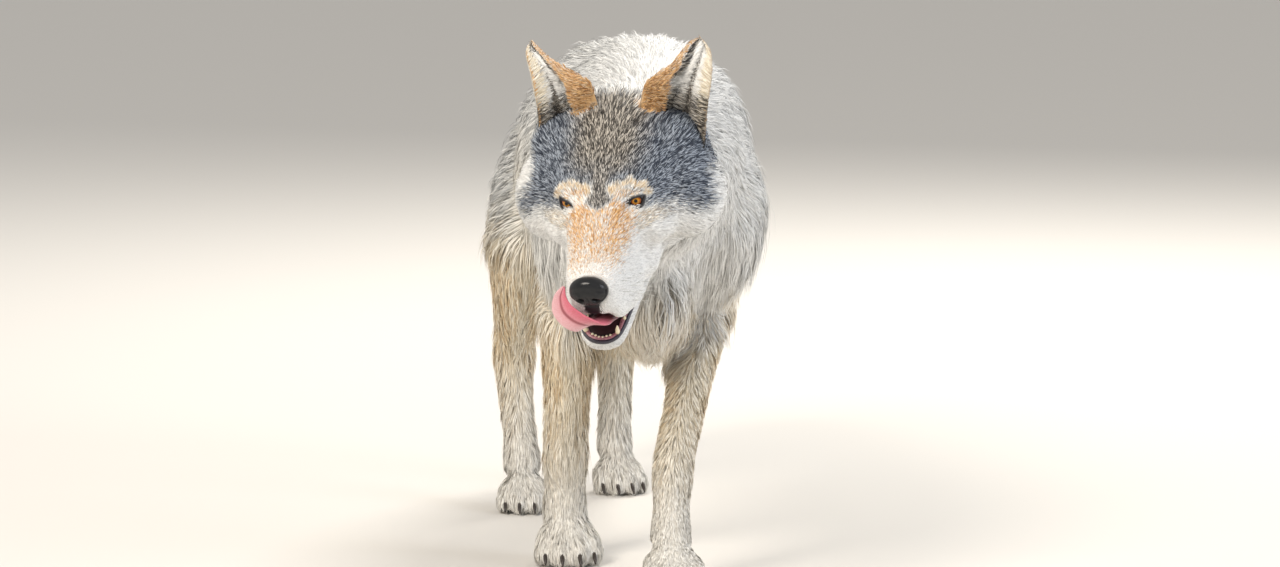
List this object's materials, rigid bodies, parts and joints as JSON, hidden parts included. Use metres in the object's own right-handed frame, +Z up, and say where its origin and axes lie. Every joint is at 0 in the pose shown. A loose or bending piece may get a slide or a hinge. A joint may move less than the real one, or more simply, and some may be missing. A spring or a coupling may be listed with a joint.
{
  "type": "wolf, life-size still model",
  "caption": "Life-size grey wolf walking with its head low and turned, its mouth half open and its tongue licking beside the nose; a still museum model.",
  "frame": {"origin": "on the floor, under the middle of the whole animal's bounding box", "axes": "+Z up, -Y the way the wolf walks, +X to the wolf's left"},
  "size_m": [0.368, 1.3648, 0.7208],
  "materials": {
    "coat_grey": "grizzled grey coat over cream underfur, dry and matte",
    "coat_cream": "short buff and cream hair, matte",
    "coat_rust": "short rusty hair on the back of the ears, matte",
    "eye_amber": "wet clear cornea over an amber iris",
    "nose_leather": "black pebbled nose leather, damp sheen",
    "tongue_flesh": "wet pink flesh"
  },
  "bodies": {
    "root": {"chest": "coat_grey", "ear_left": "coat_rust", "ear_right": "coat_rust", "eye_left": "eye_amber", "eye_right": "eye_amber", "foreleg_left": "coat_cream", "foreleg_right": "coat_cream", "forepaw_left": "coat_cream", "forepaw_right": "coat_cream", "gaskin_left": "coat_grey", "gaskin_right": "coat_grey", "head": "coat_grey", "hindpaw_left": "coat_grey", "hindpaw_right": "coat_grey", "hindquarters": "coat_grey", "hock_left": "coat_cream", "hock_right": "coat_cream", "lower_jaw": "coat_grey", "neck": "coat_grey", "nose": "nose_leather", "tail": "coat_grey", "tongue": "tongue_flesh"}
  },
  "joints": []
}
